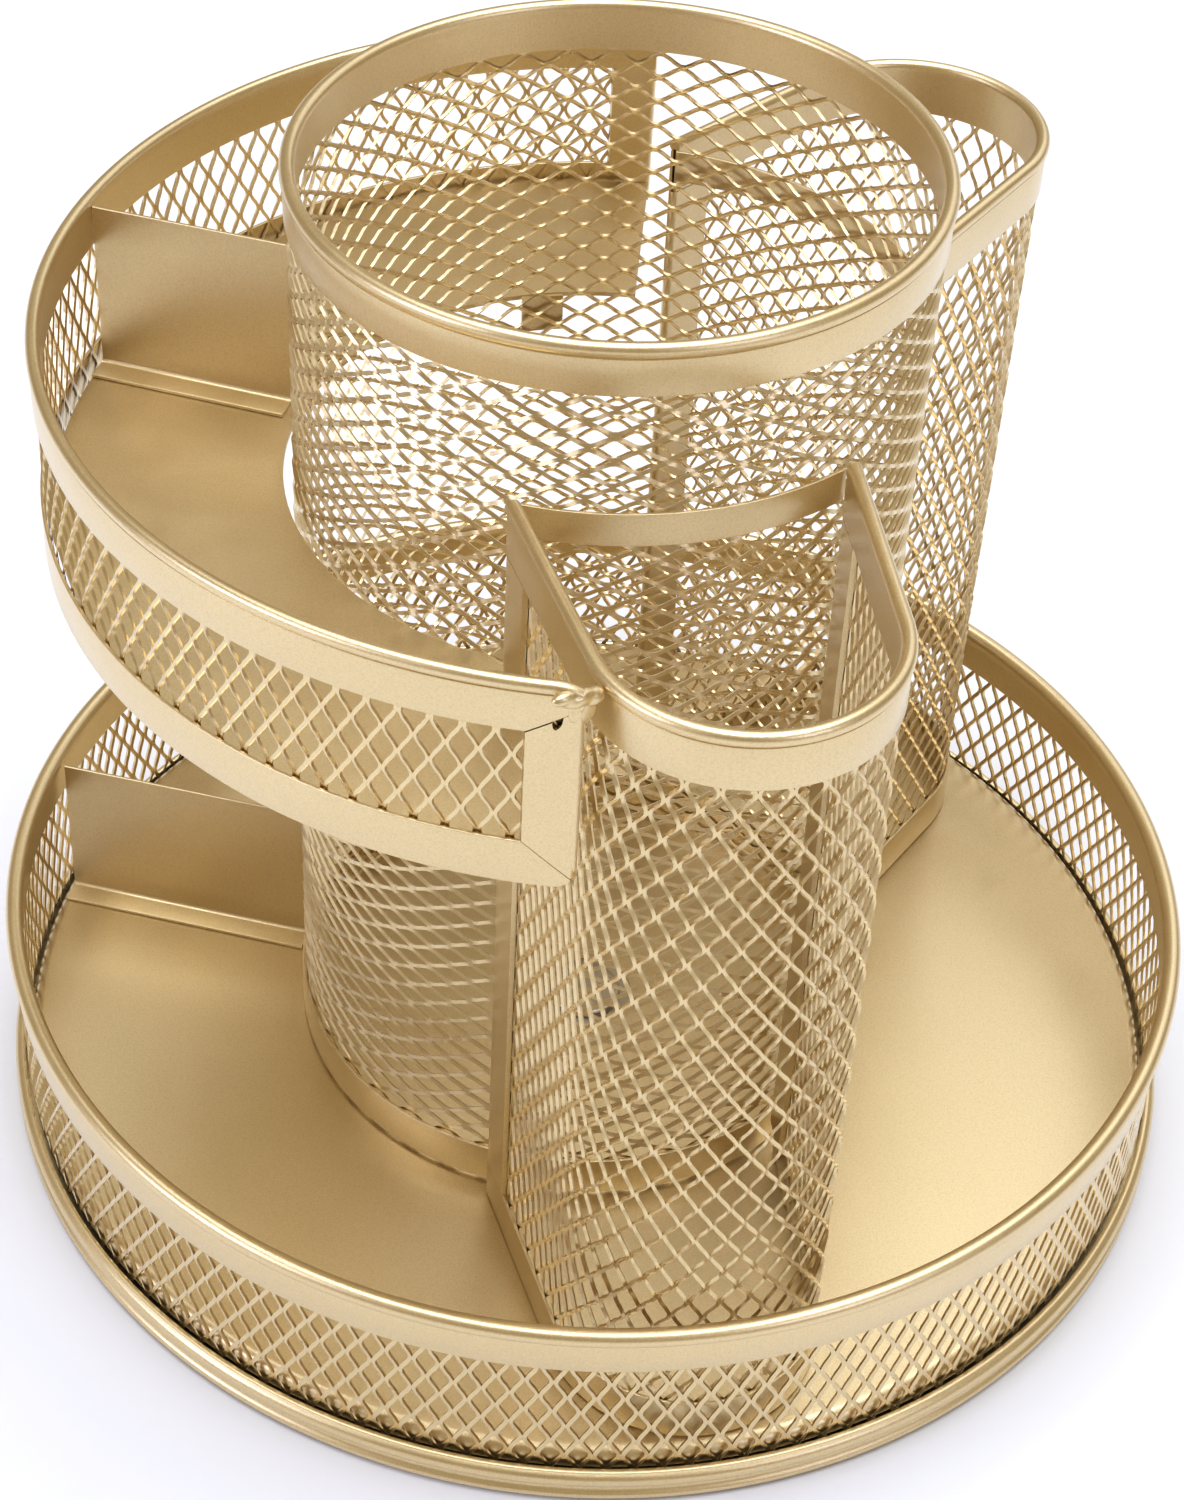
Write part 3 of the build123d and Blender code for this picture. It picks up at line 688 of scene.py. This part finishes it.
def divider(name, start, end, floor_top, cad_node):
    """A sheet folded along its foot, which rests on the floor towards the front."""
    wall, length = straight_wall(start, end, floor_top + DIVIDER_GAP)
    bend = DIVIDER_BEND
    loop = arc((bend, bend), bend, 180, 270, 6)
    loop += [(DIVIDER_FLANGE - EDGE, 0.0)] + arc((DIVIDER_FLANGE - EDGE, EDGE), EDGE, 270, 360, 3)
    loop += arc((DIVIDER_FLANGE - EDGE, STRIP - EDGE), EDGE, 0, 90, 3)
    loop += arc((bend, bend), bend - STRIP, 270, 180, 6)
    loop += arc((STRIP - EDGE, DIVIDER_HEIGHT - EDGE), EDGE, 0, 90, 3)
    loop += arc((EDGE, DIVIDER_HEIGHT - EDGE), EDGE, 90, 180, 3)
    turned_out = [(-out, up) for out, up in loop][::-1]
    sheet_piece(name, sweep(wall, np.linspace(0, length, 12), turned_out), cad_node)


divider("folded_divider_tray", (-51.8, 10.2), (-97.4, 19.3), FLOOR_TOP, "tray_divider")
divider("folded_divider_shelf", (-52.9, 14.2), (-85.3, 22.6), SHELF_FLOOR_TOP, "shelf_divider")


# --- floor and base ---
def tray_floor_outline():
    """Pressed disc with its edge turned down, as (out of its own edge, up)."""
    far, knee = -FLOOR_EDGE_ROUND, FLOOR_TOP - FLOOR_EDGE_ROUND
    hole = FLOOR_HOLE - FLOOR_RADIUS
    loop = [(hole, FLOOR_TOP - FLOOR_SHEET), (far - 1.0, FLOOR_TOP - FLOOR_SHEET)]
    loop += arc((far, knee), FLOOR_EDGE_ROUND - FLOOR_SHEET, 90, 0, 8)
    loop += arc((-EDGE, FLOOR_EDGE_Z + EDGE), EDGE, 270, 360, 3)
    loop += arc((far, knee), FLOOR_EDGE_ROUND, 0, 90, 12)
    return loop + [(far - 1.0, FLOOR_TOP), (hole, FLOOR_TOP)]


def base_outline():
    """Shallow pan whose rim has a swelling, a valley and a small roll at the desk."""
    inner = -BASE_BULGE - PAN_SHEET
    hole = PIVOT_HOLE - BASE_RADIUS
    loop = [(hole, PAN_Z), (inner, PAN_Z), (-1.75, 1.2)]
    loop += arc((-0.95, BASE_RIM_Z + BASE_ROLL), BASE_ROLL, 215, 415, 16)
    loop += [(-0.62, 2.52), (-0.80, 2.80), (-0.86, 3.15), (-0.80, 3.50), (-0.62, 3.82)]
    loop += arc((-BASE_SWELL, 4.85), BASE_SWELL, -28, 62, 12)
    loop += [(-1.00, 6.34), (-1.04, 6.52), (-1.20, BASE_RIM_TOP), (-1.6, BASE_RIM_TOP)]
    loop += [(inner, BASE_RIM_TOP - 0.15), (inner, PAN_Z + PAN_SHEET)]
    return loop + [(hole, PAN_Z + PAN_SHEET)]


sheet_piece("pressed_tray_floor", turned((0, 0), FLOOR_RADIUS, tray_floor_outline(), 360),
            "tray_floor")
sheet_piece("rolled_base_pan", turned((0, 0), BASE_RADIUS, base_outline(), 360), "base_pan", "base")


# --- weld between the upper tray and the front pocket ---
WELD_GRAIN = 0.2         # mesh size of the run-together weld
LUMP_WAVES = 1.6         # how finely a lump is uneven


def lump(centre, axes, turn, seed, roughness):
    """A rounded, uneven blob of weld; turn is the heading of its long axis in degrees."""
    rings, around = 16, 28
    c, s = math.cos(math.radians(turn)), math.sin(math.radians(turn))
    points = []
    for i in range(rings + 1):
        polar = math.pi * i / rings
        for j in range(around):
            angle = 2 * math.pi * j / around
            way = Vector((math.sin(polar) * math.cos(angle), math.sin(polar) * math.sin(angle),
                          math.cos(polar)))
            size = 1 + roughness * noise.noise(way * LUMP_WAVES + Vector((seed, 0, 0)))
            x, y, z = (way[k] * axes[k] * size for k in range(3))
            points.append((centre[0] + c * x - s * y, centre[1] + s * x + c * y, centre[2] + z))
    faces = []
    for i in range(rings):
        for j in range(around):
            n = (j + 1) % around
            above, below = i * around, (i + 1) * around
            faces.append((above + j, below + j, below + n, above + n))
    return np.array(points), faces


def weld():
    """Lumps from the end of the upper tray's bead to the pocket's, and a smear below them."""
    end_turn = math.radians(SHELF_END - 0.4)
    x0, y0 = SHELF_RADIUS * math.cos(end_turn), SHELF_RADIUS * math.sin(end_turn)
    spin = math.radians(POCKET_TURNS["front"])
    x1 = CUP_AXIS[0] + POCKET_END_AT * math.cos(spin)
    y1 = CUP_AXIS[1] + POCKET_END_AT * math.sin(spin)
    reach = math.dist((x0, y0), (x1, y1))
    heading = math.degrees(math.atan2(y1 - y0, x1 - x0))

    def along(share):
        return x0 + (x1 - x0) * share / reach, y0 + (y1 - y0) * share / reach

    gap = reach - POCKET_END_R - POCKET_BEAD
    blobs = [   # share of the way, height below the rim's middle, half sizes, seed, unevenness
        (-2.3, 0.6, (2.1, 1.05, 0.95), 1.3, 0.06),
        (-0.3, 1.4, (2.6, 1.45, 1.3), 4.1, 0.10),
        (gap * 0.5, 2.0, (1.9, 1.4, 1.3), 7.7, 0.08),
        (0.6, 4.0, (2.3, 0.9, 2.2), 2.9, 0.05),
    ]
    return joined(*[lump((*along(share), SHELF_RIM_Z - drop), axes, heading, seed, uneven)
                    for share, drop, axes, seed, uneven in blobs])


weld_piece = sheet_piece("weld_lumps", weld(), "weld_beads", crease=80.0)
melt = weld_piece.modifiers.new("melt", "REMESH")
melt.mode = "VOXEL"
melt.voxel_size = WELD_GRAIN * MM
melt.use_smooth_shade = True
flow = weld_piece.modifiers.new("flow", "SMOOTH")
flow.factor = 0.6
flow.iterations = 9


# --- carried-over CAD nodes ---
def metal(name, colour, roughness, streak, cell):
    """Bare or plated steel: streaky roughness, faint spangle and fine bump."""
    material, nodes, links = shader(name)
    bsdf = nodes["Principled BSDF"]
    bsdf.inputs["Metallic"].default_value = 1.0
    place = nodes.new("ShaderNodeTexCoord").outputs["Object"]
    spangle = node(nodes, "ShaderNodeTexVoronoi", Scale=cell)
    links.new(place, spangle.inputs["Vector"])
    grain = node(nodes, "ShaderNodeTexNoise", Scale=1400.0, Detail=3.0, Roughness=0.6)
    links.new(place, grain.inputs["Vector"])
    links.new(ramp(nodes, links, spangle.outputs["Distance"], [
        (0.0, tinted(colour, 1.0)), (1.0, tinted(colour, 0.84))]), bsdf.inputs["Base Color"])
    links.new(ramp(nodes, links, grain.outputs["Fac"], [
        (0.3, grey(roughness - streak)), (0.7, grey(roughness + streak))]),
        bsdf.inputs["Roughness"])
    bump = node(nodes, "ShaderNodeBump", Strength=0.15, Distance=0.00005)
    links.new(grain.outputs["Fac"], bump.inputs["Height"])
    links.new(bump.outputs["Normal"], bsdf.inputs["Normal"])
    return material


def moulded(name, colour, roughness, grain_scale, depth):
    """Moulded plastic or rubber, with a fine surface grain and slight mottling."""
    material, nodes, links = shader(name)
    bsdf = nodes["Principled BSDF"]
    place = nodes.new("ShaderNodeTexCoord").outputs["Object"]
    grain = node(nodes, "ShaderNodeTexNoise", Scale=grain_scale, Detail=2.0, Roughness=0.6)
    links.new(place, grain.inputs["Vector"])
    links.new(ramp(nodes, links, grain.outputs["Fac"], [
        (0.3, tinted(colour, 0.9)), (0.7, tinted(colour, 1.06))]), bsdf.inputs["Base Color"])
    links.new(ramp(nodes, links, grain.outputs["Fac"], [
        (0.3, grey(roughness - 0.06)), (0.7, grey(roughness + 0.06))]), bsdf.inputs["Roughness"])
    bump = node(nodes, "ShaderNodeBump", Strength=0.3, Distance=depth)
    links.new(grain.outputs["Fac"], bump.inputs["Height"])
    links.new(bump.outputs["Normal"], bsdf.inputs["Normal"])
    return material


zinc_steel = metal("zinc_plated_steel", (0.62, 0.55, 0.42), 0.40, 0.08, 420.0)
ball_steel = metal("polished_steel", (0.80, 0.80, 0.82), 0.10, 0.03, 900.0)
white_nylon = moulded("white_nylon", (0.86, 0.85, 0.81), 0.45, 1800.0, 0.00004)
black_rubber = moulded("black_rubber", (0.030, 0.030, 0.032), 0.72, 2600.0, 0.00008)
HIDDEN_MATERIALS = {
    "rubber_feet": black_rubber, "ball_cage": white_nylon, "pivot_bush": white_nylon,
    "bearing_balls": ball_steel, "pivot_pin": zinc_steel, "lower_race": zinc_steel,
    "lower_race_rivets": zinc_steel, "upper_race": zinc_steel, "plate_rivets": zinc_steel,
    "turntable_plate": zinc_steel,
}
for name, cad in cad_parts.items():
    cad.data.materials.clear()
    cad.data.materials.append(HIDDEN_MATERIALS.get(name, gold_sheet))


# --- stage, light and camera ---
FLOOR_HALF = 4.0         # metres
DAYLIGHT = (0.90, 1.0, 1.20)
COOL = (0.87, 0.97, 1.40)
WARM = (1.0, 0.84, 0.60, 1.0)
WHITE = (1.0, 1.0, 1.0, 1.0)


def stage_floor():
    """Plain pale floor."""
    half = FLOOR_HALF
    mesh = bpy.data.meshes.new("floor")
    mesh.from_pydata([(-half, -half, 0), (half, -half, 0), (half, half, 0), (-half, half, 0)],
                     [], [(0, 1, 2, 3)])
    material, nodes, _ = shader("floor_white")
    nodes["Principled BSDF"].inputs["Base Color"].default_value = grey(0.83)
    nodes["Principled BSDF"].inputs["Roughness"].default_value = 0.7
    mesh.materials.append(material)
    floor = bpy.data.objects.new("floor", mesh)
    bpy.context.scene.collection.objects.link(floor)


def lamp(name, kind, place, aim, power, colour):
    """A light at a place, in metres, turned towards a point."""
    light = bpy.data.lights.new(name, kind)
    light.energy = power
    light.color = colour
    holder = bpy.data.objects.new(name, light)
    holder.location = place
    holder.rotation_mode = "QUATERNION"
    holder.rotation_quaternion = (Vector(aim) - Vector(place)).to_track_quat("-Z", "Y")
    bpy.context.scene.collection.objects.link(holder)
    return light


def ceiling_light(place, strength, spread):
    """A wide, soft light from high above, the same everywhere; spread is its width in degrees."""
    light = lamp("ceiling", "SUN", place, (0, 0, 0), strength, DAYLIGHT)
    light.angle = math.radians(spread)


def softbox(name, place, width, height, power, colour):
    """A soft panel aimed at the middle of the organizer."""
    light = lamp(name, "AREA", place, (0, 0, 0.08), power, colour)
    light.shape = "RECTANGLE"
    light.size, light.size_y = width, height


def world_light(strength):
    """Warm light from all round, with a white backdrop where the camera looks past the floor."""
    world = bpy.data.worlds.new("studio")
    world.use_nodes = True
    tree = world.node_tree
    glow = tree.nodes["Background"]
    glow.inputs["Color"].default_value = WARM
    glow.inputs["Strength"].default_value = strength
    backdrop = tree.nodes.new("ShaderNodeBackground")
    backdrop.inputs["Color"].default_value = WHITE
    seen = tree.nodes.new("ShaderNodeLightPath")
    choice = tree.nodes.new("ShaderNodeMixShader")
    tree.links.new(seen.outputs["Is Camera Ray"], choice.inputs["Fac"])
    tree.links.new(glow.outputs["Background"], choice.inputs[1])
    tree.links.new(backdrop.outputs["Background"], choice.inputs[2])
    tree.links.new(choice.outputs["Shader"], tree.nodes["World Output"].inputs["Surface"])
    bpy.context.scene.world = world


CAMERA_PLACE = (0.0, -0.38283, 0.40799)
CAMERA_PITCH = 0.686     # radians below the horizon
CAMERA_YAW = -0.062
CAMERA_ROLL = 0.019
CAMERA_LENS = 71.76
CAMERA_SHIFT = (0.0867, -0.0862)


def place_camera():
    """The camera, with an upright frame that is shifted off its axis."""
    pitch, yaw, roll = CAMERA_PITCH, CAMERA_YAW, CAMERA_ROLL
    forward = Vector((math.sin(yaw) * math.cos(pitch), math.cos(yaw) * math.cos(pitch),
                      -math.sin(pitch)))
    right = Vector((math.cos(yaw), -math.sin(yaw), 0.0))
    up = right.cross(forward)
    right_rolled = math.cos(roll) * right + math.sin(roll) * up
    up_rolled = -math.sin(roll) * right + math.cos(roll) * up
    turn = Matrix((right_rolled, up_rolled, -forward)).transposed()
    data = bpy.data.cameras.new("camera")
    data.lens = CAMERA_LENS
    data.sensor_width = 36.0
    data.shift_x, data.shift_y = CAMERA_SHIFT
    data.clip_start, data.clip_end = 0.01, 20.0
    camera = bpy.data.objects.new("camera", data)
    camera.matrix_world = Matrix.Translation(CAMERA_PLACE) @ turn.to_4x4()
    bpy.context.scene.collection.objects.link(camera)
    bpy.context.scene.camera = camera


stage_floor()
scene = bpy.context.scene
scene.view_settings.view_transform = "Standard"
scene.view_settings.look = "None"
scene.view_settings.gamma = 0.84
world_light(0.48)
ceiling_light((0.04, 0.08, 1.4), 2.35, 58.0)
softbox("back_right", (0.8, 1.2, 1.1), 1.3, 1.0, 3.5, DAYLIGHT)
softbox("front_left", (-1.1, -0.6, 0.7), 0.7, 0.7, 5.0, COOL)
softbox("front_right", (0.9, -0.9, 0.8), 0.6, 0.6, 2.2, COOL)
place_camera()
